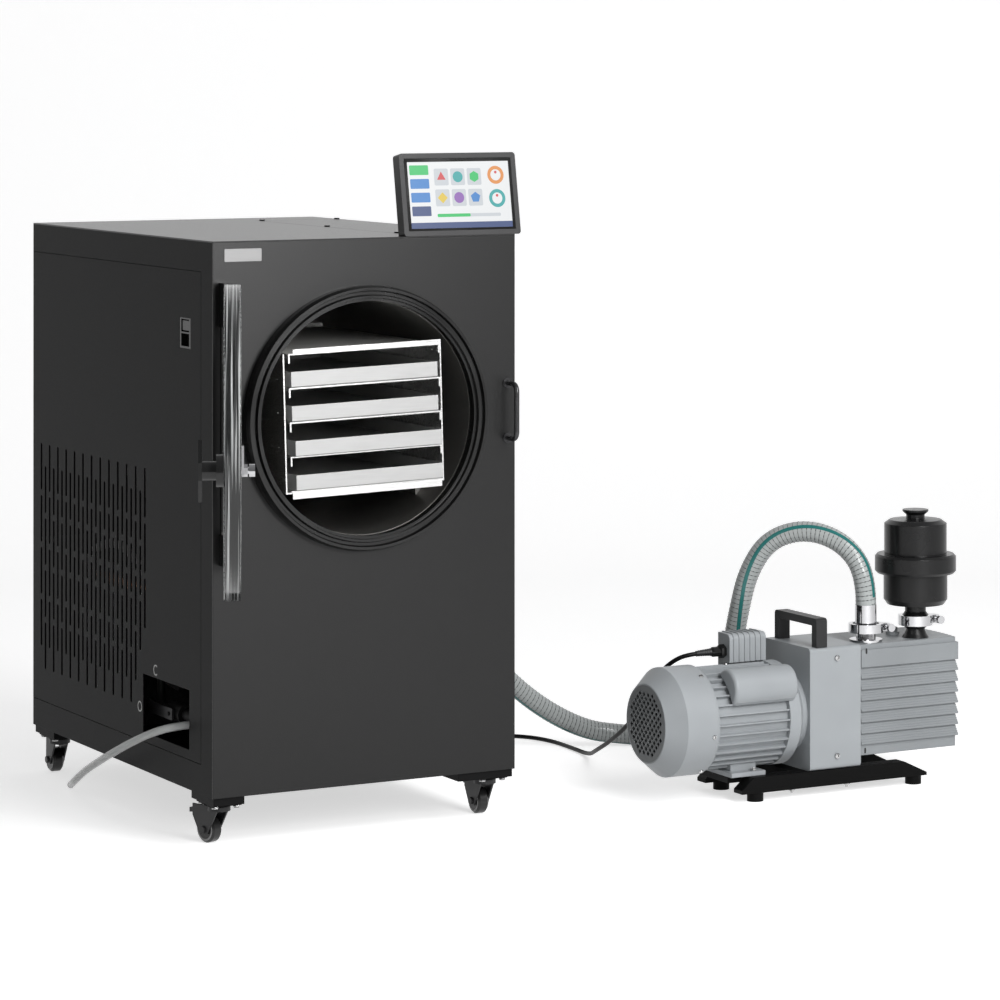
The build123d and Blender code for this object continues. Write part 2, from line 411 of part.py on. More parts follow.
# ---------------------------------------------------------------- casters
spots = [(CASTER_IN_X, CASTER_IN_Y), (CAB_W - CASTER_IN_X, CASTER_IN_Y),
         (CASTER_IN_X, CAB_D - CASTER_IN_Y), (CAB_W - CASTER_IN_X, CAB_D - CASTER_IN_Y)]
crown0, crown1 = 50.0, CASTER_H - 3 - 4 - GAP
mounts = []
inner = WHEEL_W / 2 + 0.6
for n, (cx, cy) in enumerate(spots):
    m = box(cx - 23, cx + 23, cy - 31, cy + 31, CASTER_H - 3, CASTER_H) + cyl_z(cx, cy, CASTER_H - 7, CASTER_H - 3, 17.0)
    m += cyl_z(cx, cy, crown0 - GAP, CASTER_H - 7, KING_R) + cyl_z(cx, cy, crown0 - 3, crown0 - GAP, 6.5)
    for dx in (-17, 17):
        for dy in (-25, 25):
            m += cyl_z(cx + dx, cy + dy, CASTER_H - 7, CASTER_H - 3, 4.5)
    mounts.append(m)
    # the fork is drawn with its trail toward +y, then turned about the kingpin
    fork = cyl_z(0, 0, crown0, crown1, 17.0) + box(-inner - CHEEK, inner + CHEEK, 0, 24, crown0, crown1)
    fork -= cyl_z(0, 0, crown0 - 1, crown1 + 1, KING_R + FIT)
    ear = 50.0 if n < 2 else 34.0
    outline = [(-8, crown1), (-8, crown0), (TRAIL - 9, WHEEL_R - 6), (TRAIL + 9, WHEEL_R - 6), (ear - 4, 40), (ear - 4, crown1)]
    for s in (-1, 1):
        a, b = sorted((s * inner, s * (inner + CHEEK)))
        fork += prism_x(outline, a, b)
    fork += cyl_x(TRAIL, WHEEL_R, -inner - CHEEK - 3, inner + CHEEK + 3, AXLE_R)
    for s in (-1, 1):
        a, b = sorted((s * (inner + CHEEK), s * (inner + CHEEK + 3)))
        fork += cyl_x(TRAIL, WHEEL_R, a, b, 5.5)
    wheel = spun_x([(-WHEEL_W / 2, AXLE_R + FIT), (-WHEEL_W / 2, WHEEL_R - 3), (-WHEEL_W / 2 + 3, WHEEL_R),
                    (WHEEL_W / 2 - 3, WHEEL_R), (WHEEL_W / 2, WHEEL_R - 3), (WHEEL_W / 2, AXLE_R + FIT)], TRAIL, WHEEL_R)
    place = lambda s: Pos(cx, cy, 0) * Rot(0, 0, CASTER_TURN[n]) * s
    if n < 2:
        pin_y, pin_z = 40.0, 48.0
        fork += cyl_x(pin_y, pin_z, -inner - CHEEK, inner + CHEEK, 2.0)
        pedal = cyl_x(pin_y, pin_z, -inner + GAP, inner - GAP, 4.5)
        pedal += prism_x([(pin_y, pin_z + 4.5), (pin_y, pin_z - 4), (pin_y + 16, pin_z - 6), (pin_y + 16, pin_z + 1)],
                         -inner + GAP, inner - GAP)
        parts[f"caster_brake_{n + 1}"] = place(pedal - cyl_x(pin_y, pin_z, -30, 30, 2.0 + FIT))
    parts[f"caster_fork_{n + 1}"] = place(fork)
    parts[f"caster_wheel_{n + 1}"] = place(wheel)
parts["caster_plates"] = mounts

# ---------------------------------------------------------------- pump
cone1, cx1 = COWL_X + COWL_CONE, COWL_X + COWL_L
disc_r = COWL_FACE_R - COWL_T
cowl = spun_x([(COWL_X, disc_r), (COWL_X, COWL_FACE_R), (cone1, COWL_R), (cx1, COWL_R), (cx1, COWL_R - COWL_T),
               (cone1 + 1, COWL_R - COWL_T), (COWL_X + COWL_T, disc_r)], PUMP_Y, PUMP_Z)
holes = []
rows = int(GRILLE_R / GRILLE_PITCH * 2) + 1
for i in range(-rows, rows + 1):
    for k in range(-rows, rows + 1):
        dy, dz = i * GRILLE_PITCH / 2, (k + (i % 2) / 2) * GRILLE_PITCH
        if math.hypot(dy, dz) + GRILLE_HOLE < GRILLE_R:
            holes.append(Pos(COWL_X + 1.5, PUMP_Y + dy, PUMP_Z + dz) * Rot(45, 0, 0) * Box(5, GRILLE_HOLE * 1.414, GRILLE_HOLE * 1.414))
grille = cyl_x(PUMP_Y, PUMP_Z, COWL_X, COWL_X + COWL_T, disc_r) - holes
parts["motor_cowl"] = [cowl, grille]

mx1 = MOTOR_X0 + MOTOR_L
motor = cyl_x(PUMP_Y, PUMP_Z, MOTOR_X0 - 10, mx1, MOTOR_CORE_R)
motor += cyl_x(PUMP_Y, PUMP_Z, MOTOR_X0 - 10, MOTOR_X0 + 4, COWL_R - COWL_T - GAP)
for k in range(FIN_N):
    fin = Pos((MOTOR_X0 + 4 + mx1) / 2, 0, (MOTOR_CORE_R + MOTOR_R) / 2 - 1) * Box(mx1 - MOTOR_X0 - 4, FIN_T, MOTOR_R - MOTOR_CORE_R + 2)
    motor += Pos(0, PUMP_Y, PUMP_Z) * Rot(360 * k / FIN_N, 0, 0) * fin
motor += spun_x([(mx1 - 2, 0), (mx1 - 2, MOTOR_R + 1), (mx1 + 18, MOTOR_R + 1), (mx1 + BELL_L - 8, MOTOR_R - 16),
                 (BELL_X1, MOTOR_R - 16), (BELL_X1, 0)], PUMP_Y, PUMP_Z)
foot_x0, foot_x1 = 850.0, 912.0
motor -= cyl_x(PUMP_Y, PUMP_Z, MOTOR_X0 - 20, mx1 - 5, SHAFT_R + FIT)
foot = box(foot_x0, foot_x1, -62, 50, RAIL_Z1, RAIL_Z1 + 7) + box(foot_x0 + 8, foot_x1 - 8, -45, 35, RAIL_Z1, PUMP_Z - 60)
parts["motor_housing"] = [motor, foot - motor]

rotor = cyl_x(PUMP_Y, PUMP_Z, COWL_X + 9, mx1 - 10, SHAFT_R) + cyl_x(PUMP_Y, PUMP_Z, COWL_X + 14, COWL_X + 44, 18.0)
for k in range(7):
    vane = Pos(COWL_X + 38, 0, 44) * Box(26, 2.5, 56)
    rotor += Pos(0, PUMP_Y, PUMP_Z) * Rot(360 * k / 7, 0, 0) * vane
parts["motor_rotor"] = rotor

saddle_r = MOTOR_R + GAP
cap_y, cap_z, cap_r = PUMP_Y - MOTOR_R + 24.0, PUMP_Z + MOTOR_R - 28.0, 31.0
cap = fillet(cyl_x(cap_y, cap_z, 840, 955, cap_r).edges(), 6)
cap += Pos(0, PUMP_Y, PUMP_Z) * Rot(47, 0, 0) * box(846, 949, -cap_r, cap_r, MOTOR_R - 21, MOTOR_R + 3)
parts["capacitor_cover"] = cap - cyl_x(PUMP_Y, PUMP_Z, 800, 1000, saddle_r + 1.0)
tb_x0, tb_x1, tb_y0, tb_y1, tb_top = 883.0, 950.0, 0.0, 36.0, PUMP_Z + MOTOR_R + 46.0


def hood(x0, x1, grow, low, round_):
    # a block with a rounded top front edge
    b = box(x0, x1, tb_y0 - grow, tb_y1, low, tb_top + grow)
    return fillet(b.edges().filter_by(Axis.X).group_by(Axis.Z)[-1].sort_by(Axis.Y)[0], round_ + grow)


tbox = hood(tb_x0, tb_x1, 0, tb_top - 63, 9)
for k in range(6):
    tbox += hood(tb_x0 + 7 + k * 10, tb_x0 + 10 + k * 10, 1.5, tb_top - 44, 9)
parts["terminal_box"] = tbox - cyl_x(PUMP_Y, PUMP_Z, 800, 1000, saddle_r + 1.0)
gy, gz = 18.0, tb_top - 28.0
nutg = extrude(Plane(origin=(tb_x0 - 9, gy, gz), z_dir=(1, 0, 0)) * RegularPolygon(11, 6), 9)
parts["cable_gland"] = nutg + spun_x([(858, 0), (858, 5.5), (862, 8), (875, 8), (875, 0)], gy, gz)

coupler = box(BELL_X1, COUPLER_X1, COUPLER_Y0, COUPLER_Y1, RAIL_Z1, COUPLER_TOP)
parts["coupling_housing"] = fillet(coupler.edges().filter_by(Axis.X), 7)
hx0, hx1 = BELL_X1 + 13, BELL_X1 + 33
hy0, hy1, htop = -75.0, 52.0, COUPLER_TOP + 46
grip = box(hx0, hx1, hy0, hy1, COUPLER_TOP, htop) - box(hx0, hx1, hy0 + 14, hy1 - 14, COUPLER_TOP, htop - 12)
parts["pump_handle"] = fillet(grip.edges().filter_by(Axis.X).group_by(Axis.Z)[-1], 6)

oy = (OIL_Y0 + OIL_Y1) / 2
ow, ox = OIL_Y1 - OIL_Y0, (OIL_X0 + OIL_X1) / 2


def block(grow, z0, z1):
    # a plain slab of the oil case with a slightly bowed right end
    s = Pos(ox + grow / 2, oy, (z0 + z1) / 2) * Box(OIL_L + grow, ow + 2 * grow, z1 - z0)
    return s & Pos(OIL_X1 + grow - 420, oy, (z0 + z1) / 2) * Cylinder(420, z1 - z0)


oil = block(0, OIL_Z0, OIL_TOP)
steps = 4
for i in range(RIB_N):
    zr = OIL_TOP - RIB_TOP - (i + 1) * RIB_PITCH
    for k in range(steps):
        h = (RIB_PITCH - 2.5) / steps
        oil += block(RIB_OUT * (1 - k / steps), zr + k * h, zr + (k + 1) * h)
oil += block(RIB_OUT, OIL_TOP - RIB_TOP, OIL_TOP - 8)
oil += box(COUPLER_X1, OIL_X0, OIL_Y0 + 5, OIL_Y1 - 5, OIL_Z0 + 5, OIL_TOP - 4)
filler = cyl_z(1190, 0, OIL_TOP, OIL_TOP + 5, 11.0) + cyl_z(1190, 0, OIL_TOP + 5, OIL_TOP + 12, 8.0)
parts["oil_box"] = [oil, filler]

fl = OIL_TOP
portf = spun_z([(fl, 0), (fl, 26.5), (fl + 4, 26.5), (fl + 4, 16), (fl + 16, 15), (fl + 19, 21), (fl + 22, 21),
                (fl + 22, 0)], PORT_X, PORT_Y)
ferrule = spun_z([(fl + 22, 0), (fl + 22, 21), (fl + 25, 21), (fl + 28, HOSE_R + 1), (fl + 59, HOSE_R + 1),
                  (fl + 59, 0)], PORT_X, PORT_Y)


def clamp(x, y, z0, h):
    ring = cyl_z(x, y, z0, z0 + h, 28.0) - cyl_z(x, y, z0 - 1, z0 + h + 1, 21.0 + GAP)
    ear = box(x + 21.5, x + 38, y - 12, y + 2, z0 + 1, z0 + h - 1)
    screw = cyl_y(x + 33, z0 + h / 2, y - 26, y + 2, 3.0) + cyl_y(x + 33, z0 + h / 2, y - 26, y - 20, 6.5)
    return ring + ear + screw


parts["inlet_fitting"] = [portf, ferrule, clamp(PORT_X, PORT_Y, fl + 15, 14)]
fc = fl + 12
mist = spun_z([(fl, 0), (fl, 22), (fl + 6, 18), (fl + 14, 15), (fl + 20, 21), (fl + 36, 21), (fl + 42, 17),
               (fl + 53, 17), (fl + 54, 46), (fl + 62, 51.5), (fl + 104, 51.5), (fl + 104, 62), (fl + 108, 65.5),
               (fl + 131, 65.5), (fl + 135, 62), (fl + 135, 50.5), (fl + 184, 50.5), (fl + 190, 42), (fl + 192, 15),
               (fl + 198, 15), (fl + 203, 21), (fl + 206, 21), (fl + 206, 0)], FILTER_X, PORT_Y)
parts["mist_filter"] = [mist, clamp(FILTER_X, PORT_Y, fl + 20, 16)]

rails = None
for a, b in ((-76.0, -50.0), (38.0, 64.0)):
    rail = prism_y([(RAIL_X0, RAIL_Z0), (RAIL_X0, 20), (RAIL_X0 + 22, RAIL_Z1), (RAIL_X1 - 42, RAIL_Z1),
                    (RAIL_X1, 19), (RAIL_X1, RAIL_Z0)], a, b)
    rails = rail if rails is None else rails + rail
rails += box(BELL_X1 + 5, COUPLER_X1 - 5, -50, 38, RAIL_Z1 - 10, RAIL_Z1)
rails += box(foot_x0, foot_x1, -50, 38, RAIL_Z1 - 10, RAIL_Z1)
feet = [cyl_z(x, y, 0, RAIL_Z0, 13.0) for x, y in ((893, -62), (897, 50), (1189, -62), (1189, 50))]
parts["pump_base"] = [rails] + feet

# ---------------------------------------------------------------- hose, cord, drain tube (as they lie)
parts["vacuum_hose"] = tube("vacuum_hose", [
    (CAB_W + 40, vac_y, vac_z), (618, vac_y, vac_z), (695, 545, 192), (782, 517, 92), (880, 494, 30), (955, 475, 17),
    (1010, 420, 17), (1033, 348, 30), (1028, 275, 72), (1003, 205, 132), (976, 150, 200), (968, 115, 270),
    (977, 100, 336), (1002, 76, 389), (1046, 32, 408), (1089, -12, 388), (PORT_X, PORT_Y, 340),
    (PORT_X, PORT_Y, fl + 59)], HOSE_R)
parts["pump_cord"] = tube("pump_cord", [
    (858, gy, gz), (828, gy, gz), (804, 33, 217), (792, 67, 190), (791, 110, 138), (799, 180, 90), (805, 250, 53),
    (819, 325, 25), (845, 395, 5), (854, 470, 3.8), (856, 548, 3.8), (838, 608, 3.8), (788, 650, 3.8),
    (720, 680, 3.8), (645, 690, 6), (590, gland_y, 52), (CAB_W + 46, gland_y, gland_z),
    (CAB_W + 12, gland_y, gland_z)], CORD_R)
parts["drain_tube"] = tube("drain_tube", [
    (28, 112, vz), (-4, 112, vz), (-32, 133, 160), (-44, 194, 137), (-48, 278, 105), (-42, 354, 78), (-34, 422, 55),
    (-22, 491, 30), (-9, 553, 8)], TUBE_R)

# ---------------------------------------------------------------- origin and export
loose = ("vacuum_hose", "pump_cord", "drain_tube")
corners = []
for name, shape in parts.items():
    if name in loose:
        continue
    for s in (shape if isinstance(shape, list) else [shape]):
        b = s.bounding_box()
        corners.append((b.min.X, b.max.X, b.min.Y, b.max.Y, b.min.Z, b.max.Z))
lo = [min(c[i] for c in corners) for i in (0, 2, 4)]
hi = [max(c[i] for c in corners) for i in (1, 3, 5)]
ORIGIN_X, ORIGIN_Y = (lo[0] + hi[0]) / 2, (lo[1] + hi[1]) / 2
print("bounds", [round(v, 2) for v in lo + hi], "origin", round(ORIGIN_X, 3), round(ORIGIN_Y, 3))

os.makedirs("parts", exist_ok=True)
for name, shape in parts.items():
    solids = []
    for s in (shape if isinstance(shape, list) else [shape]):
        solids += s.solids()
    moved = [Pos(-ORIGIN_X, -ORIGIN_Y, 0) * s for s in solids]
    export_step(moved[0] if len(moved) == 1 else Compound(children=moved), f"parts/{name}.step")
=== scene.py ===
import math

import bmesh
import bpy
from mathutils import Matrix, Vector


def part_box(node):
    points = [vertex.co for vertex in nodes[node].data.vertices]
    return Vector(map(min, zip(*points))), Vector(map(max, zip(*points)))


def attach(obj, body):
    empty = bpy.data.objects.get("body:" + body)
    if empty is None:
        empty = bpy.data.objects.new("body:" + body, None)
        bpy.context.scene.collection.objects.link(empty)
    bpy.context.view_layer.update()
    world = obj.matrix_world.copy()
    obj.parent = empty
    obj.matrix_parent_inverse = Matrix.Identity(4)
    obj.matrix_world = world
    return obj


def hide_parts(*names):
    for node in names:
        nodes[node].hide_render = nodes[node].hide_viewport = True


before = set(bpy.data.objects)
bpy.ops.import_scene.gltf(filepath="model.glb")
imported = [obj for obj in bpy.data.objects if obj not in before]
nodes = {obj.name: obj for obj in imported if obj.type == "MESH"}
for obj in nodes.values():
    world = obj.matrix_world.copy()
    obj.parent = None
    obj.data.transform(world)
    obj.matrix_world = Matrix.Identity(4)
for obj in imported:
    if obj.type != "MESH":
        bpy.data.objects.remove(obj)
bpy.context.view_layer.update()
body = "cabinet_and_pump"
left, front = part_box("front_panel")[0].x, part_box("front_panel")[0].y


def at(x, y, z):
    # millimetres from the cabinet's left side, its front face and the floor
    return Vector((left + x / 1000, front + y / 1000, z / 1000))


# camera: place in millimetres, turn and lift in radians
view = {"place": (-2253.68, -5299.83, 1167.99), "turn": 0.5188, "lift": 0.0019, "lens": 140.03,
        "shiftX": -0.1689, "shiftY": -0.4508}
cam = bpy.data.objects.new("camera", bpy.data.cameras.new("camera"))
bpy.context.scene.collection.objects.link(cam)
cam.location = at(*view["place"])
cam.rotation_euler = (math.pi / 2 + view["lift"], 0, -view["turn"])
cam.data.lens, cam.data.sensor_width = view["lens"], 36.0
cam.data.shift_x, cam.data.shift_y = view["shiftX"], view["shiftY"]
cam.data.clip_end = 60
bpy.context.scene.camera = cam
bpy.context.scene.view_settings.view_transform = "Standard"
print("camera set")


class Wire:
    # a node's output that adds its own Math node when it is used in a sum or product
    def __init__(self, paint, socket):
        self.paint, self.socket = paint, socket

    def calc(self, operation, other):
        return self.paint.node("ShaderNodeMath", {"operation": operation}, {0: self, 1: other})

    def __add__(self, other):
        return self.calc("ADD", other)

    def __mul__(self, other):
        return self.calc("MULTIPLY", other)


class Paint:
    # one material or world, with its shader and the nodes that feed it
    def __init__(self, name, kind="materials", shader="Principled BSDF"):
        self.mat = getattr(bpy.data, kind).new(name)
        self.mat.use_nodes = True
        self.tree = self.mat.node_tree
        self.skin = self.tree.nodes[shader]

    def node(self, kind, settings=None, values=None, out=0):
        made = self.tree.nodes.new(kind)
        for key, value in (settings or {}).items():
            setattr(made, key, value)
        for key, value in (values or {}).items():
            self.feed(made.inputs[key], value)
        return Wire(self, made.outputs[out])

    def feed(self, socket, value):
        if isinstance(value, Wire):
            self.tree.links.new(value.socket, socket)
        else:
            socket.default_value = value

    def set(self, **values):
        for key, value in values.items():
            if isinstance(value, tuple) and len(value) == 3:
                value = (*value, 1)   # a colour's alpha
            self.feed(self.skin.inputs[key.replace("_", " ")], value)

    def place(self):
        return self.node("ShaderNodeTexCoord", out="Object")

    def stretched(self, x, y, z):
        return self.node("ShaderNodeMapping", {}, {"Vector": self.place(), "Scale": (x, y, z)})

    def noise(self, scale, detail=2.0, where=None):
        values = {"Vector": where or self.place(), "Scale": scale, "Detail": detail}
        return self.node("ShaderNodeTexNoise", {}, values)

    def between(self, low, high, mask):
        # the Mix node's colours are its inputs 6 and 7, and its mixed colour is output 2
        return self.node("ShaderNodeMix", {"data_type": "RGBA"}, {0: mask, 6: (*low, 1), 7: (*high, 1)}, 2)

    def range(self, mask, a, b, low, high):
        # a mask that runs from a to b, spread out from low to high
        return self.node("ShaderNodeMapRange", {}, {0: mask, 1: a, 2: b, 3: low, 4: high})

    def bump(self, height, strength, depth, rounded=None):
        values = {"Height": height, "Strength": strength, "Distance": depth}
        if rounded:
            values["Normal"] = self.node("ShaderNodeBevel", {"samples": 4}, {"Radius": rounded})
        return self.node("ShaderNodeBump", {}, values)


def sheetPaint(name, tint, rough, grain, rounded=0.0015, size=900.0, shine=0.3):
    p = Paint(name)
    fine, broad = p.noise(size, 3.0), p.noise(9.0, 2.0)
    p.set(Base_Color=p.between([c * 0.86 for c in tint], [c * 1.14 for c in tint], broad),
          Specular_IOR_Level=shine, Roughness=p.range(fine, 0.3, 0.7, rough - 0.05, rough + 0.06),
          Normal=p.bump(fine, grain, 0.0004, rounded))
    return p.mat


def metalPaint(name, tint, rough, brush, grain=0.25, rounded=None, metal=1.0):
    p = Paint(name)
    streak = p.noise(1.0, 4.0, p.stretched(*brush))
    p.set(Metallic=metal, Base_Color=p.between([c * 0.88 for c in tint], tint, streak),
          Roughness=p.range(streak, 0.3, 0.7, rough - 0.06, rough + 0.08),
          Normal=p.bump(streak, grain, 0.0002, rounded))
    return p.mat


def plasticPaint(name, tint, rough, grain=0.08, size=500.0, rounded=None, shine=0.4):
    p = Paint(name)
    fine, broad = p.noise(size, 3.0), p.noise(14.0, 3.0)
    p.set(Base_Color=p.between([c * 0.8 for c in tint], [c * 1.2 for c in tint], broad),
          Specular_IOR_Level=shine, Roughness=p.range(broad, 0.3, 0.7, rough - 0.05, rough + 0.07),
          Normal=p.bump(fine, grain, 0.0003, rounded))
    return p.mat


# one black sheet finish in three tones: the top paler as painted light, the front darker as painted shade,
# the sides and frame between
blackSheet = sheetPaint("blackSheet", (0.0068, 0.0068, 0.007), 0.46, 0.10, 0.0016, 900.0, 0.06)
frontSheetPaintedShade = sheetPaint("frontSheetPaintedShade", (0.0025, 0.0025, 0.0026), 0.36, 0.3, 0.002, 420.0, 0.36)
topSheetPaintedLight = sheetPaint("topSheetPaintedLight", (0.016, 0.016, 0.0162), 0.31, 0.03, 0.003, 700.0, 0.34)
pumpGrey = sheetPaint("pumpGrey", (0.31, 0.328, 0.342), 0.42, 0.10, 0.0014, 700.0, 0.4)
# the oil case gets the pump's grey at four fifths of its tone: painted shade
oilShadedGrey = sheetPaint("oilShadedGrey", (0.245, 0.26, 0.27), 0.42, 0.10, 0.0014, 700.0, 0.35)
# the grille disc's grey is the cowl's grey at half its tone: painted shade of the disc's shadowed face
grilleShadeGrey = sheetPaint("grilleShadeGrey", (0.16, 0.168, 0.172), 0.45, 0.10, None, 700.0, 0.3)
castBlack = sheetPaint("castBlack", (0.003, 0.003, 0.003), 0.5, 0.3, 0.0015, 300.0, 0.08)
darkSheet = sheetPaint("darkSheet", (0.006, 0.006, 0.006), 0.6, 0.1, None, 900.0, 0.2)
steelWall = metalPaint("steelWall", (0.2, 0.195, 0.185), 0.36, (60, 900, 60), 0.25, None, 0.8)
roofSteel = metalPaint("roofSteel", (0.62, 0.62, 0.6), 0.5, (30, 500, 900), 0.25, None, 0.25)
rackSteel = metalPaint("rackSteel", (0.85, 0.85, 0.84), 0.26, (40, 700, 700))
shelfSteel = metalPaint("shelfSteel", (0.85, 0.85, 0.84), 0.24, (30, 500, 900))
chrome = metalPaint("chrome", (0.52, 0.52, 0.53), 0.1, (200, 200, 200), 0.03)
darkChrome = metalPaint("darkChrome", (0.05, 0.05, 0.052), 0.2, (200, 200, 200), 0.03, None, 0.6)
boltSteel = metalPaint("boltSteel", (0.5, 0.5, 0.5), 0.24, (300, 300, 300), 0.05)
copper = metalPaint("copper", (0.72, 0.4, 0.26), 0.3, (120, 120, 120), 0.1)
finAlu = metalPaint("finAlu", (0.55, 0.56, 0.57), 0.4, (500, 40, 40))
plateSilver = metalPaint("plateSilver", (0.2, 0.2, 0.2), 0.46, (30, 30, 1600), 0.2)
blackPlastic = plasticPaint("blackPlastic", (0.013, 0.013, 0.014), 0.42, 0.15, 500.0, 0.0008)
glossBlack = plasticPaint("glossBlack", (0.008, 0.008, 0.008), 0.18, 0.02)
glassBlack = plasticPaint("glassBlack", (0.006, 0.006, 0.006), 0.12, 0.01)
tyreBlack = plasticPaint("tyreBlack", (0.012, 0.012, 0.012), 0.3, 0.1, 300.0)
hubGrey = plasticPaint("hubGrey", (0.32, 0.32, 0.32), 0.35, 0.05)
gasketRubber = plasticPaint("gasketRubber", (0.007, 0.007, 0.007), 0.22, 0.08, 300.0)
filterPlastic = plasticPaint("filterPlastic", (0.008, 0.008, 0.0082), 0.28, 0.1, 260.0, 0.0015, 0.28)
cordRubber = plasticPaint("cordRubber", (0.004, 0.004, 0.004), 0.42, 0.08, 500.0, None, 0.15)
whitePlastic = plasticPaint("whitePlastic", (0.7, 0.7, 0.69), 0.4)
markWhite = plasticPaint("markWhite", (0.62, 0.62, 0.61), 0.5)
springGrey = plasticPaint("springGrey", (0.05, 0.053, 0.053), 0.3)

p = Paint("trayMetal")   # pale brushed aluminium
streak = p.noise(1.0, 5.0, p.stretched(25, 400, 1400))
p.set(Metallic=0.35, Base_Color=p.between((0.37, 0.37, 0.367), (0.46, 0.46, 0.457), streak),
      Roughness=p.range(streak, 0.3, 0.7, 0.3, 0.46), Normal=p.bump(streak, 0.25, 0.0002, 0.001))
trayMetal = p.mat

p = Paint("acrylic")   # thick clear sheet
haze = p.noise(40.0, 3.0)
p.set(Base_Color=p.between((0.93, 0.95, 0.95), (0.97, 0.99, 0.99), haze), IOR=1.49,
      Roughness=p.range(haze, 0.3, 0.7, 0.02, 0.07), Transmission_Weight=0.96)
acrylic = p.mat

# the clear door's cut edge, with light and dark lines along it: painted highlights and painted dark
# reflections
doorTurn = math.radians(113.3)
doorOut = Vector((math.sin(doorTurn), math.cos(doorTurn), 0))   # square to the open door's face
p = Paint("acrylicRim")
rim = {"across": 420, "up": 5}   # how fine the lines are
spot = [p.node("ShaderNodeSeparateXYZ", {}, {0: p.place()}, k) for k in "XYZ"]
across, up = (spot[0] * doorOut.x + spot[1] * doorOut.y) * rim["across"], spot[2] * rim["up"]
lines = p.noise(1.0, 2.0, p.node("ShaderNodeCombineXYZ", {}, {0: across, 2: up}))
paintedHighlight = p.range(lines, 0.5, 0.68, 0.0, 1.0)
# the edge's colour runs from near black to near white along the lines: painted reflections and highlights,
# not a tint of the acrylic
p.set(Base_Color=p.between((0.02, 0.021, 0.021), (0.85, 0.87, 0.87), paintedHighlight), IOR=1.49,
      Transmission_Weight=0.4, Roughness=p.range(lines, 0.3, 0.7, 0.06, 0.2),
      Normal=p.bump(lines, 0.3, 0.0006))
acrylicRim = p.mat


def clearPaint(name, tint, cover, rough):
    # a see-through wall that keeps its shine
    p = Paint(name)
    cloud = p.noise(60.0, 2.0)
    p.set(Base_Color=p.between([c * 0.93 for c in tint], tint, cloud), Alpha=cover, IOR=1.45,
          Roughness=p.range(cloud, 0.3, 0.7, rough - 0.02, rough + 0.04),
          Normal=p.bump(cloud, 0.05, 0.0004))
    return p.mat


hoseWall = clearPaint("hoseWall", (0.42, 0.445, 0.44), 0.87, 0.16)
hoseTeal = clearPaint("hoseTeal", (0.02, 0.17, 0.16), 0.85, 0.2)
tubeWall = clearPaint("tubeWall", (0.74, 0.76, 0.75), 0.55, 0.1)
print("paints made")

cadPaint = {
    "cabinet_frame": blackSheet, "left_vent_panel": blackSheet, "right_panel": blackSheet,
    "back_panel": blackSheet, "front_panel": frontSheetPaintedShade, "top_panel": topSheetPaintedLight,
    "top_access_cover": topSheetPaintedLight, "cabinet_fasteners": glossBlack, "caster_plates": castBlack,
    "vacuum_chamber": steelWall, "refrigerant_circuit": copper, "door_gasket": gasketRubber,
    "rack_frame": rackSteel, "heater_shelves": shelfSteel, "compressor": castBlack, "condenser": finAlu,
    "condenser_fan": blackPlastic, "control_unit": darkSheet, "drain_valve": darkSheet,
    "drain_lever": blackPlastic, "vacuum_port": boltSteel, "screen_case": blackPlastic,
    "screen_panel": glassBlack, "power_inlet": glossBlack, "power_switch": glossBlack,
    "door_catch": darkChrome, "door_hinge_base": glossBlack, "door_hinge_bar": glossBlack,
    "door_panel": acrylic, "latch_handle": glossBlack, "latch_tongue": chrome, "motor_housing": pumpGrey,
    "motor_cowl": pumpGrey, "motor_rotor": darkSheet, "terminal_box": pumpGrey,
    "capacitor_cover": pumpGrey, "cable_gland": glossBlack, "coupling_housing": pumpGrey,
    "pump_handle": blackPlastic, "oil_box": oilShadedGrey, "pump_base": castBlack, "mist_filter": filterPlastic,
    "inlet_fitting": chrome, "drain_tube": tubeWall, "vacuum_hose": hoseWall, "pump_cord": cordRubber}
for i in (1, 2, 3, 4):
    cadPaint[f"tray_{i}"], cadPaint[f"caster_fork_{i}"] = trayMetal, blackPlastic
    cadPaint[f"caster_wheel_{i}"] = tyreBlack
for i in (1, 2):
    cadPaint[f"caster_brake_{i}"] = blackPlastic
for name, mat in cadPaint.items():
    nodes[name].data.materials.clear()
    nodes[name].data.materials.append(mat)


def secondPaint(name, mat, picked):
    # a second paint on those faces of a node that a test picks
    mesh = nodes[name].data
    mesh.materials.append(mat)
    for face in mesh.polygons:
        if picked(face):
            face.material_index = 1


# the cowl's perforated disc, the filter's clamp band and the top shelf's upper face, in millimetres
disc = {"y": -5, "z": 126, "radius": 60.2, "deep": 2.2}
band = {"x": 1208, "y": -40, "low": 250.5, "high": 267.5, "inner": 21.1}
shelfTop = {"drop": 20.0}
cowlLow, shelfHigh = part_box("motor_cowl")[0].x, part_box("heater_shelves")[1].z


def onDisc(face):
    c = (face.center - at(0, disc["y"], disc["z"])) * 1000
    return (face.center.x - cowlLow) * 1000 < disc["deep"] and math.hypot(c.y, c.z) < disc["radius"]


def onBand(face):
    c = (face.center - at(band["x"], band["y"], 0)) * 1000
    return band["low"] < c.z < band["high"] and math.hypot(c.x, c.y) > band["inner"]


def onShelfTop(face):
    return face.normal.z > 0.9 and (shelfHigh - face.center.z) * 1000 < shelfTop["drop"]


# the disc's darker grey is painted shade
secondPaint("motor_cowl", grilleShadeGrey, onDisc)
secondPaint("heater_shelves", roofSteel, onShelfTop)
secondPaint("door_panel", acrylicRim, lambda face: abs(face.normal.dot(doorOut)) < 0.5)
secondPaint("mist_filter", chrome, onBand)
print("frame painted")


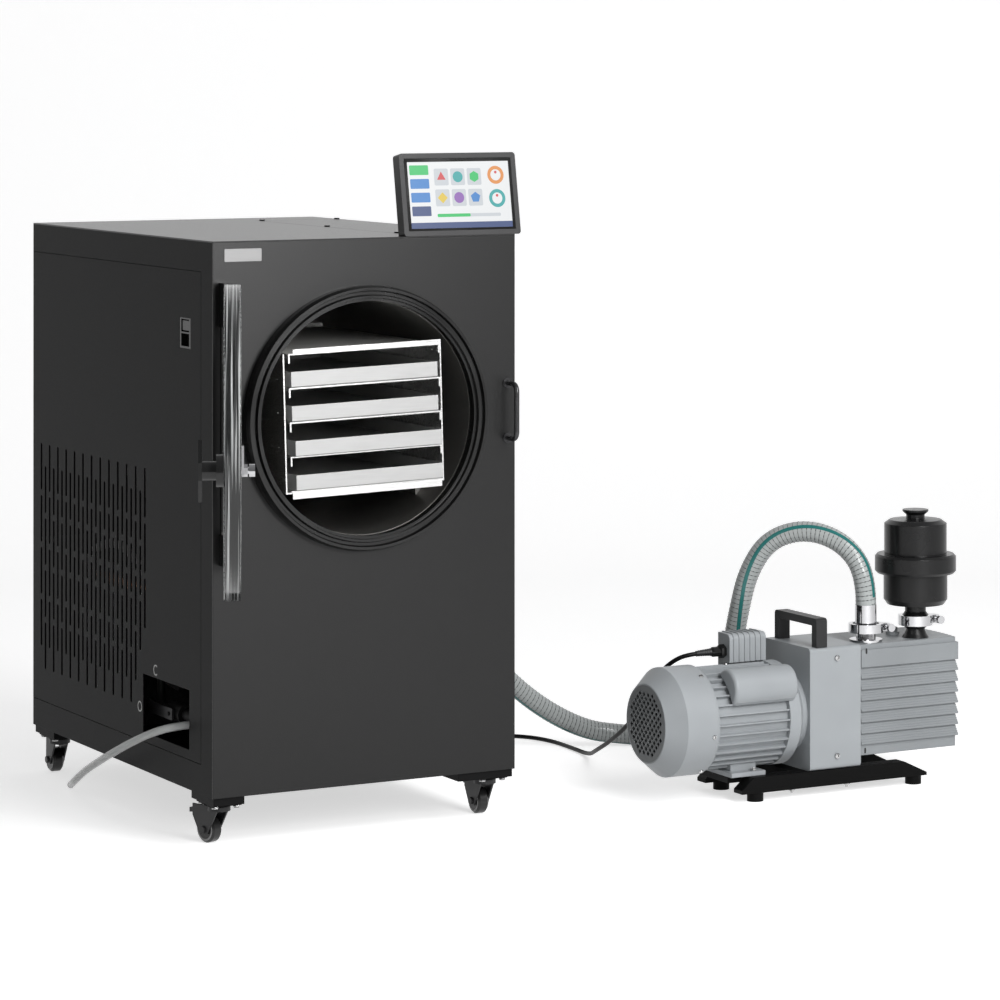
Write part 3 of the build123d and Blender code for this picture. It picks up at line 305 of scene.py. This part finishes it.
# helpers for new pieces
def piece(name, mesh, mat, rides=body, smooth=None):
    o = bpy.data.objects.new(name, mesh)
    bpy.context.scene.collection.objects.link(o)
    mesh.materials.append(mat)
    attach(o, rides)
    if smooth is not None and hasattr(mesh, "polygons"):
        mesh.shade_smooth()
        mesh.set_sharp_from_angle(angle=math.radians(smooth))
    return o


def meshFrom(name, build):
    bm = bmesh.new()
    build(bm)
    bmesh.ops.recalc_face_normals(bm, faces=bm.faces)
    mesh = bpy.data.meshes.new(name)
    bm.to_mesh(mesh)
    bm.free()
    return mesh


def smoothLine(points):
    # a smooth curve with a route's points as its control points
    curve = bpy.data.curves.new("route", "CURVE")
    curve.dimensions, curve.resolution_u = "3D", 24
    s = curve.splines.new("NURBS")
    s.points.add(len(points) - 1)
    for spot, q in zip(s.points, points):
        spot.co = (*at(*q), 1)
    s.order_u, s.use_endpoint_u = 3, True
    return curve


def readLine(curve):
    # the points that a curve passes
    probe = bpy.data.objects.new("probe", curve)
    mesh = bpy.data.meshes.new_from_object(probe)
    line = [v.co.copy() for v in mesh.vertices]
    bpy.data.objects.remove(probe)
    bpy.data.meshes.remove(mesh)
    return line


def fillOut(curve, across, rounding):
    # a round tube with closed ends along a curve
    curve.bevel_depth, curve.bevel_resolution, curve.use_fill_caps = across / 2, rounding, True


# vacuum hose: its route is in millimetres and the rest in metres
# the stripe is (distance along, angle) pairs, and stations are those of one turn of the coil
hose = {"route": [(540, 560, 241), (618, 560, 241), (695, 545, 192), (782, 517, 92), (880, 494, 30),
                  (955, 475, 17), (1010, 420, 17), (1033, 348, 30), (1028, 275, 72), (1003, 205, 132),
                  (976, 150, 200), (968, 115, 270), (977, 100, 336), (1002, 76, 389), (1046, 32, 408),
                  (1089, -12, 388), (1113, -40, 340), (1113, -40, 290)],
        "across": 0.033, "wire": 0.0013, "pitch": 0.0072, "stations": 14,
        "stripe": [(0, 1.1), (0.6, 1.2), (0.92, 1.6), (1.28, -0.3), (1.5, -0.5)],
        "stripeHalf": 0.19, "stripeStep": 0.008, "stripeOut": 0.0002, "stripeCrown": 0.00025,
        "stripeSink": 0.0006}
hoseCurve = smoothLine(hose["route"])
hoseLine = readLine(hoseCurve)
fillOut(hoseCurve, hose["across"], 8)
hoseObj = piece("hose", hoseCurve, hoseWall)
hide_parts("vacuum_hose")


def lineLength(line):
    return sum((b - a).length for a, b in zip(line, line[1:]))


def frames(line, step):
    # evenly spaced stations along a line, each with a twist-free pair of directions
    out, gone, want = [], 0.0, 0.0
    t = (line[1] - line[0]).normalized()
    u = t.cross(Vector((0, 0, 1))).normalized()
    for a, b in zip(line, line[1:]):
        run = (b - a).length
        if run < 1e-7:
            continue
        t = (b - a) / run
        u = (u - t * u.dot(t)).normalized()
        while want <= gone + run:
            out.append((a + t * (want - gone), t, u, t.cross(u)))
            want += step
        gone += run
    return out


def valueAt(steps, x):
    # the value at x on a line through a few (place, value) pairs
    for (x0, y0), (x1, y1) in zip(steps, steps[1:]):
        if x <= x1:
            return y0 + (y1 - y0) * (x - x0) / (x1 - x0)
    return steps[-1][1]


def joinRings(bm, a, b):
    n = len(a)
    for i in range(n):
        bm.faces.new((a[i], a[(i + 1) % n], b[(i + 1) % n], b[i]))


def sweepRing(bm, rings):
    # a skin over a row of rings, with a cap at each end
    rows = [[bm.verts.new(q) for q in ring] for ring in rings]
    for a, b in zip(rows, rows[1:]):
        joinRings(bm, a, b)
    bm.faces.new(rows[0])
    bm.faces.new(rows[-1])


def circle(n):
    # n even angles
    return [2 * math.pi * k / n for k in range(n)]


def around(u, v, a):
    # the direction at angle a between u and v
    return u * math.cos(a) + v * math.sin(a)


def hoseCoil(bm):
    # the steel spring inside the wall, as one long wire
    r, wire = hose["across"] / 2 - hose["wire"] * 0.55, hose["wire"]
    rings = []
    for i, (c, t, u, v) in enumerate(frames(hoseLine, hose["pitch"] / hose["stations"])[2:-2]):
        out = around(u, v, 2 * math.pi * i / hose["stations"])
        q = c + out * r
        rings.append([q + t * wire, q + out * wire, q - t * wire, q - out * wire])
    sweepRing(bm, rings)


def hoseStripe(bm):
    # a flat coloured band that runs along the wall
    r, half = hose["across"] / 2 + hose["stripeOut"], hose["stripeHalf"]
    rings = []
    for i, (c, t, u, v) in enumerate(frames(hoseLine, hose["stripeStep"])[1:-1]):
        turn = valueAt(hose["stripe"], i * hose["stripeStep"])
        corners = ((-half, r), (0, r + hose["stripeCrown"]), (half, r), (0, r - hose["stripeSink"]))
        rings.append([c + around(u, v, turn + a) * away for a, away in corners])
    sweepRing(bm, rings)


coilObj = piece("hoseSpring", meshFrom("hoseSpring", hoseCoil), springGrey, smooth=60)
stripeObj = piece("hoseStripe", meshFrom("hoseStripe", hoseStripe), hoseTeal, smooth=60)
at(*hose["route"][0])
lineLength(hoseLine)

# pump cord, with its width in metres
lead = {"route": [(858, 18, 225), (828, 18, 225), (804, 33, 217), (792, 67, 190), (791, 110, 138),
                  (799, 180, 90), (805, 250, 53), (819, 325, 25), (845, 395, 5), (854, 470, 3.8),
                  (856, 548, 3.8), (838, 608, 3.8), (788, 650, 3.8), (720, 680, 3.8), (645, 690, 6),
                  (590, 697, 52), (546, 697, 101), (512, 697, 101)],
        "across": 0.007}
leadCurve = smoothLine(lead["route"])
leadLine = readLine(leadCurve)
fillOut(leadCurve, lead["across"], 5)
leadObj = piece("pumpLead", leadCurve, cordRubber)
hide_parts("pump_cord")
at(*lead["route"][0])
lineLength(leadLine)

# drain tube, with its measures in metres
drain = {"route": [(28, 112, 168), (-4, 112, 168), (-32, 133, 160), (-44, 194, 137), (-48, 278, 105),
                   (-42, 354, 78), (-34, 422, 55), (-22, 491, 30), (-9, 553, 8)],
         "across": 0.012, "wall": 0.0016, "step": 0.006, "sides": 20}
drainCurve = smoothLine(drain["route"])
drainLine = readLine(drainCurve)
bpy.data.curves.remove(drainCurve)


def drainWall(bm):
    # an open tube with a real wall, so its cut end shows the bore
    outer = drain["across"] / 2
    walls = []
    for r in (outer, outer - drain["wall"]):
        walls.append([[bm.verts.new(c + around(u, v, a) * r) for a in circle(drain["sides"])]
                      for c, t, u, v in frames(drainLine, drain["step"])])
    for rings in walls:
        for a, b in zip(rings, rings[1:]):
            joinRings(bm, a, b)
    for end in (0, -1):
        joinRings(bm, walls[0][end], walls[1][end])


drainObj = piece("drainTube", meshFrom("drainTube", drainWall), tubeWall, smooth=60)
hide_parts("drain_tube")
at(*drain["route"][0])
lineLength(drainLine)
[list(q) for q in drainLine]
print("hose, lead and drain tube laid")


# small turned and flat pieces
def lathe(bm, profile, place, axis, sides=20):
    # profile is (radius, height) in metres along the axis
    basis = Vector(axis).to_track_quat("Z", "Y").to_matrix()
    sweepRing(bm, [[place + basis @ Vector((r * math.cos(a), r * math.sin(a), h)) for a in circle(sides)]
                   for r, h in profile])


def panHead(bm, place, axis, r):
    # a domed screw head with a driving recess
    shape = [(1, 0), (1, 0.34), (0.84, 0.6), (0.46, 0.72), (0.36, 0.3), (0.02, 0.3)]
    lathe(bm, [(w * r, h * r) for w, h in shape], place, axis)


def hexNut(bm, place, axis, r, tall, stud=0.0):
    # a nut with the end of its bolt standing out by stud
    lathe(bm, [(r * 0.94, 0), (r, 0.12 * tall), (r, 0.88 * tall), (r * 0.9, tall), (r * 0.52, tall),
               (r * 0.5, tall + stud + 0.0002), (0.02 * r, tall + stud + 0.0002)], place, axis, 6)


def roundRect(w, h, r, n=5):
    # a rounded rectangle about the middle, with n steps to a corner
    x, y = w / 2 - r, h / 2 - r
    spots = []
    for cx, cy, start in ((x, y, 0), (-x, y, 90), (-x, -y, 180), (x, -y, 270)):
        for k in range(n + 1):
            a = math.radians(start + 90 * k / n)
            spots.append((cx + r * math.cos(a), cy + r * math.sin(a)))
    return spots


def slab(bm, spots, put, low, high, edge=0.0, mat=0):
    # an outline in millimetres, raised from low to high with a small chamfer at the top
    rings = [[put(u, v, low) for u, v in spots], [put(u, v, high - edge) for u, v in spots]]
    if edge:
        cu, cv = sum(u for u, v in spots) / len(spots), sum(v for u, v in spots) / len(spots)
        shrink = 1 - edge / max(math.hypot(u - cu, v - cv) for u, v in spots) * 1.4
        rings.append([put(cu + (u - cu) * shrink, cv + (v - cv) * shrink, high) for u, v in spots])
    before = len(bm.faces)
    sweepRing(bm, rings)
    bm.faces.ensure_lookup_table()
    for f in bm.faces[before:]:
        f.material_index = mat


# screws, nuts and studs that don't move: places in millimetres, sizes of heads, bosses and nuts in metres
heads = {"coupling": [(1035, -77, 215), (1035, -77, 60)], "couplingHead": 0.0048,
         "terminal": [(879.5, 6, 205), (953.5, 6, 205)], "terminalHead": 0.0036,
         "terminalBoss": [(0.0055, -0.012), (0.0055, 0), (0.0004, 0)],
         "cowl": {"x": 803, "radius": 85.5, "angles": (-150, -112, -28, 30, 100, 150)},
         "bell": {"x": 958, "radius": 82.0, "angles": (-20, -62, -128, 60)},
         "axis": (-5, 126), "sink": 0.2, "motorHead": 0.0038,
         "rail": [(960, -63), (1062, -63)], "railZ": 14.2, "railNut": (0.006, 0.004, 0.0035),
         "foot": (893, -56, 46), "footNut": (0.0052, 0.0034, 0.002),
         "rack": [(18, 62), (44, 62), (18, 12), (44, 12), (18, -40), (44, -40)], "rackHead": 0.0017,
         "chamber": (247, 626), "rackSide": -133.8, "rackLean": 1.6}


def buildHeads(bm):
    for x, y, z in heads["coupling"]:
        panHead(bm, at(x, y, z), (0, -1, 0), heads["couplingHead"])
    for x, y, z in heads["terminal"]:
        lathe(bm, heads["terminalBoss"], at(x, y, z), (0, 0, 1))
        panHead(bm, at(x, y, z), (0, 0, 1), heads["terminalHead"])
    for group in (heads["cowl"], heads["bell"]):
        reach = (group["radius"] - heads["sink"]) / 1000
        for q in (math.radians(a) for a in group["angles"]):
            out = Vector((0, -math.sin(q), math.cos(q)))
            panHead(bm, at(group["x"], *heads["axis"]) + out * reach, out, heads["motorHead"])
    for x, y in heads["rail"]:
        hexNut(bm, at(x, y, heads["railZ"]), (0, 0, -1), *heads["railNut"])
    hexNut(bm, at(*heads["foot"]), (0, 0, 1), *heads["footNut"])
    lean = math.radians(heads["rackLean"])
    x, top = heads["chamber"]
    for y, z in heads["rack"]:
        side = heads["rackSide"] * math.cos(lean) - z * math.sin(lean)
        panHead(bm, at(x + side, y, top + z), (-1, 0, 0), heads["rackHead"])


piece("fixedHeads", meshFrom("fixedHeads", buildHeads), boltSteel, smooth=35)

# caster nuts and the pale rings on the caster wheels, in millimetres, but the nuts' sizes in metres
casters = {"at": [(29, 44), (471, 44), (29, 701), (471, 701)], "turn": (18, 0, 0, -10), "trail": 22,
           "wheelZ": 20, "half": 9.0, "ring": (14.2, 16.8), "ringEdge": 0.5,
           "nutX": 17, "nutY": 25, "nutZ": 60.9, "nut": (0.0054, 0.0034)}


def casterNuts(bm):
    for cx, cy in casters["at"]:
        for dx in (-casters["nutX"], casters["nutX"]):
            for dy in (-casters["nutY"], casters["nutY"]):
                hexNut(bm, at(cx + dx, cy + dy, casters["nutZ"]), (0, 0, -1), *casters["nut"])


piece("casterNuts", meshFrom("casterNuts", casterNuts), boltSteel, smooth=35)


def wheelRings(bm, hub, axle):
    (a, b), e = casters["ring"], casters["ringEdge"]
    shape = [(a, -0.4), (a, 0.1), (a + e, 0.3), (b - e, 0.3), (b, 0.1), (b, -0.4)]
    for s in (-1, 1):
        face = hub + axle * s * casters["half"] / 1000
        lathe(bm, [(r / 1000, h / 1000) for r, h in shape], face, axle * s, 40)


for i, ((cx, cy), turn) in enumerate(zip(casters["at"], casters["turn"]), 1):
    t = math.radians(turn)
    axle, back = Vector((math.cos(t), math.sin(t), 0)), Vector((-math.sin(t), math.cos(t), 0))
    hub = at(cx, cy, casters["wheelZ"]) + back * casters["trail"] / 1000
    name = f"wheelRing{i}"
    piece(name, meshFrom(name, lambda bm: wheelRings(bm, hub, axle)), hubGrey, f"caster_wheel_{i}", 35)
print("screws, nuts and wheel rings set")

# blank nameplate, valve marks and the slots of the oil case, in millimetres
plate = {"x": 48, "z": 875, "w": 60, "h": 19, "thick": 0.9, "corner": 1.5, "edge": 0.25}


def namePlate(bm):
    def put(u, v, t):
        return at(plate["x"] + u, -t, plate["z"] + v)

    slab(bm, roundRect(plate["w"], plate["h"], plate["corner"]), put, 0, plate["thick"], plate["edge"])


piece("namePlate", meshFrom("namePlate", namePlate), plateSilver, smooth=35)

marks = {"tall": 17.0, "letters": [("C", 221, 235), ("O", 283, 171)], "out": -0.15, "capShare": 0.72}
for letter, y, z in marks["letters"]:
    text = bpy.data.curves.new("mark" + letter, "FONT")
    text.body, text.align_x, text.align_y, text.extrude = letter, "CENTER", "CENTER", 0.0
    text.size = marks["tall"] / 1000 / marks["capShare"]
    probe = bpy.data.objects.new("probe", text)
    mesh = bpy.data.meshes.new_from_object(probe)
    bpy.data.objects.remove(probe)
    base = at(marks["out"], y, z)
    for v in mesh.vertices:
        v.co = base + Vector((0, -v.co.x, v.co.y))
    mesh.name = "mark" + letter
    piece("mark" + letter, mesh, markWhite)

oilSlots = {"x": 1092.5, "at": [(-74, 221), (-70, 62)], "w": 3.2, "h": 9.0, "corner": 1.55, "thick": 0.15}


def slots(bm):
    outline = roundRect(oilSlots["w"], oilSlots["h"], oilSlots["corner"])
    for y, z in oilSlots["at"]:
        slab(bm, outline, lambda u, v, t: at(oilSlots["x"] + u, y - t, z + v), 0, oilSlots["thick"])


piece("oilSlots", meshFrom("oilSlots", slots), glossBlack)
print("plate, marks and slots set")

# touch screen picture in millimetres: plain tiles and shapes, no words, and a paint is a place in lit
# a row is (x, up, width, height, paint), a dial (x, up, radius, paint) and a shape (corners, paint)
screen = {"tilt": 10, "top": 896,
          "glass": (412, 62.5, 172, 102),
          "bar": (412, 16.0, 172, 9),
          "buttons": [(345, 101, 32, 15, 2), (345, 80, 32, 15, 1), (345, 59, 32, 15, 1),
                      (345, 38, 32, 15, 3)],
          "tile": (24, 26), "shapeRadius": 8.5, "ring": 0.62, "dot": 0.16, "dotUp": 0.3,
          "corners": {"sheet": 0.6, "button": 1.6, "tile": 2.5},
          "layers": (-0.15, -0.12, -0.06, -0.02, 0.0), "barTop": -0.08, "pale": 6,
          "tiles": [(382, 90), (410, 90), (438, 90), (382, 58), (410, 58), (438, 58)],
          "dials": [(475, 92, 14, 4), (475, 56, 14, 5)],
          "meter": [(425, 31, 108, 5, 6), (399, 31, 56, 5, 2)],
          "shapes": [(3, 7), (20, 5), (6, 2), (4, 8), (20, 9), (5, 1)]}
lit = [("litWhite", (0.93, 0.95, 0.96)), ("litBlue", (0.03, 0.24, 0.66)), ("litGreen", (0.01, 0.6, 0.14)),
       ("litNavy", (0.02, 0.06, 0.22)), ("litOrange", (0.85, 0.3, 0.05)), ("litTeal", (0.02, 0.42, 0.42)),
       ("litPale", (0.66, 0.7, 0.74)), ("litRed", (0.72, 0.05, 0.06)), ("litYellow", (0.85, 0.62, 0.05)),
       ("litViolet", (0.3, 0.12, 0.5))]


def litPaint(name, tint, strength=0.85):
    p = Paint(name)
    values = {"Vector": p.place(), "Scale": 300.0}
    lines = p.node("ShaderNodeTexWave", {"bands_direction": "Z"}, values, "Fac")
    p.set(Base_Color=(0.01, 0.01, 0.01), Roughness=0.3, Emission_Strength=strength,
          Emission_Color=p.between([c * 0.93 for c in tint], tint, lines))
    return p.mat


def screenAt(u, v, t):
    # u along the screen, v up it and t out of it, in millimetres
    a = math.radians(screen["tilt"])
    return at(u, -t * math.cos(a) + v * math.sin(a), screen["top"] + t * math.sin(a) + v * math.cos(a))


def polygon(cx, cy, r, n):
    # n even corners, the first one at the top
    turns = [math.pi / 2 + a for a in circle(n)]
    return [(cx + r * math.cos(a), cy + r * math.sin(a)) for a in turns]


def moved(spots, cx, cy):
    return [(cx + u, cy + v) for u, v in spots]


def screenPicture(bm):
    # thin layers, each just above the one before
    layers, corners = screen["layers"], screen["corners"]

    def tile(spot, size, corner, low, high, mat):
        slab(bm, moved(roundRect(*size, corners[corner]), *spot), screenAt, low, high, 0, mat)

    def shape(x, y, r, n, layer, mat):
        slab(bm, polygon(x, y, r, n), screenAt, layers[layer], layers[layer + 1], 0, mat)

    tile(screen["glass"][:2], screen["glass"][2:], "sheet", layers[0], layers[1], 0)
    tile(screen["bar"][:2], screen["bar"][2:], "sheet", layers[1], screen["barTop"], 3)
    for x, y, w, h, mat in screen["buttons"] + screen["meter"]:
        high = layers[2] if mat == screen["pale"] else layers[3]
        tile((x, y), (w, h), "button", layers[1], high, mat)
    for (x, y), (n, mat) in zip(screen["tiles"], screen["shapes"]):
        tile((x, y), screen["tile"], "tile", layers[1], layers[2], screen["pale"])
        shape(x, y, screen["shapeRadius"], n, 2, mat)
    for x, y, r, mat in screen["dials"]:
        shape(x, y, r, 36, 1, mat)
        shape(x, y, r * screen["ring"], 36, 2, 0)
        shape(x, y + r * screen["dotUp"], r * screen["dot"], 12, 3, 7)


pictureObj = piece("screenPicture", meshFrom("screenPicture", screenPicture), litPaint(*lit[0]))
for name, tint in lit[1:]:
    pictureObj.data.materials.append(litPaint(name, tint))
print("screen lit")

# strain reliefs on the lead, in metres
relief = {"step": 0.001, "long": 26, "thick": 0.0056, "thin": 0.0041, "rib": 0.0005, "sides": 20}


def sleeve(bm, line):
    # a ribbed cone that thins away from the gland
    rows = frames(line, relief["step"])[:relief["long"]]
    rings = []
    for i, (c, t, u, v) in enumerate(rows):
        r = relief["thick"] + (relief["thin"] - relief["thick"]) * i / len(rows)
        r += relief["rib"] if i % 4 < 2 else 0
        rings.append([c + around(u, v, a) * r for a in circle(relief["sides"])])
    sweepRing(bm, rings)


for name, line in (("reliefPump", leadLine), ("reliefCabinet", leadLine[::-1])):
    piece(name, meshFrom(name, lambda bm: sleeve(bm, line)), blackPlastic, smooth=50)

# a pipe glimpsed through the side slots
glimpse = {"route": [(24, 330, 372), (24, 380, 396), (24, 440, 404), (24, 500, 396), (24, 560, 372)],
           "across": 0.014}
pipeCurve = smoothLine(glimpse["route"])
fillOut(pipeCurve, glimpse["across"], 4)
piece("glimpsedPipe", pipeCurve, whitePlastic)
print("reliefs and inner pipe set")

# floor, backdrop and lamps: the floor's sizes in metres, the last five how strong each light is
studio = {"half": 9.0, "near": -9, "bendFrom": 2.6, "bend": 1.2, "tall": 6,
          "glow": 0.62, "world": 0.36, "key": 45.0, "front": 48.0, "fill": 12.0}


def floorSheet(bm):
    # a floor that curves up into the backdrop
    turn, bend, bendFrom = view["turn"], studio["bend"], studio["bendFrom"]
    ahead = Vector((math.sin(turn), math.cos(turn), 0))
    side = Vector((math.cos(turn), -math.sin(turn), 0))
    profile = [(studio["near"], 0), (bendFrom, 0)]
    for a in (math.pi / 2 * k / 10 for k in range(1, 11)):
        profile.append((bendFrom + bend * math.sin(a), bend - bend * math.cos(a)))
    profile.append((bendFrom + bend, studio["tall"]))
    rows = []
    for d, z in profile:
        middle, reach = ahead * d + Vector((0, 0, z)), side * studio["half"]
        rows.append([bm.verts.new(middle - reach), bm.verts.new(middle + reach)])
    for a, b in zip(rows, rows[1:]):
        bm.faces.new((a[0], a[1], b[1], b[0]))


# white to the eye, in mirrors and through glass, and a plain pale floor as a light bouncer
p = Paint("floorPaint")
seen = [p.node("ShaderNodeLightPath", out=f"Is {kind} Ray") for kind in ("Camera", "Glossy", "Transmission")]
glow = p.between((0, 0, 0), (studio["glow"],) * 3, seen[0] + seen[1] + seen[2])
p.set(Emission_Color=glow, Emission_Strength=1.0, Base_Color=(0.78, 0.78, 0.78), Specular_IOR_Level=0.0,
      Roughness=p.range(p.noise(3.0, 2.0), 0.3, 0.7, 0.85, 0.95))
floorPaint = p.mat
mesh = meshFrom("floor", floorSheet)
floor = bpy.data.objects.new("floor", mesh)
bpy.context.scene.collection.objects.link(floor)
mesh.materials.append(floorPaint)
mesh.shade_smooth()

sky = Paint("sky", "worlds", "Background")   # dimmer from the left
aim = sky.node("ShaderNodeSeparateXYZ", {}, {0: sky.node("ShaderNodeTexCoord", out="Generated")}, "X")
sky.set(Color=sky.between((0.3, 0.3, 0.3), (1.25, 1.25, 1.27), sky.range(aim, -0.75, 0.35, 0, 1)),
        Strength=studio["world"])
bpy.context.scene.world = sky.mat


def lamp(name, place, aim, size, power):
    # a square lamp, placed and aimed in millimetres, its side in metres
    data = bpy.data.lights.new(name, "AREA")
    data.shape, data.size, data.size_y, data.energy = "RECTANGLE", size, size, power
    o = bpy.data.objects.new(name, data)
    bpy.context.scene.collection.objects.link(o)
    o.location = at(*place)
    o.rotation_euler = (at(*aim) - o.location).to_track_quat("-Z", "Y").to_euler()


lamp("keyLamp", (1300, -2300, 2500), (450, 0, 450), 1.2, studio["key"])
lamp("frontLamp", (700, -2600, 1250), (350, 0, 600), 1.0, studio["front"])
lamp("fillLamp", (-2600, -1500, 2400), (500, 100, 400), 1.8, studio["fill"])
print("studio ready")
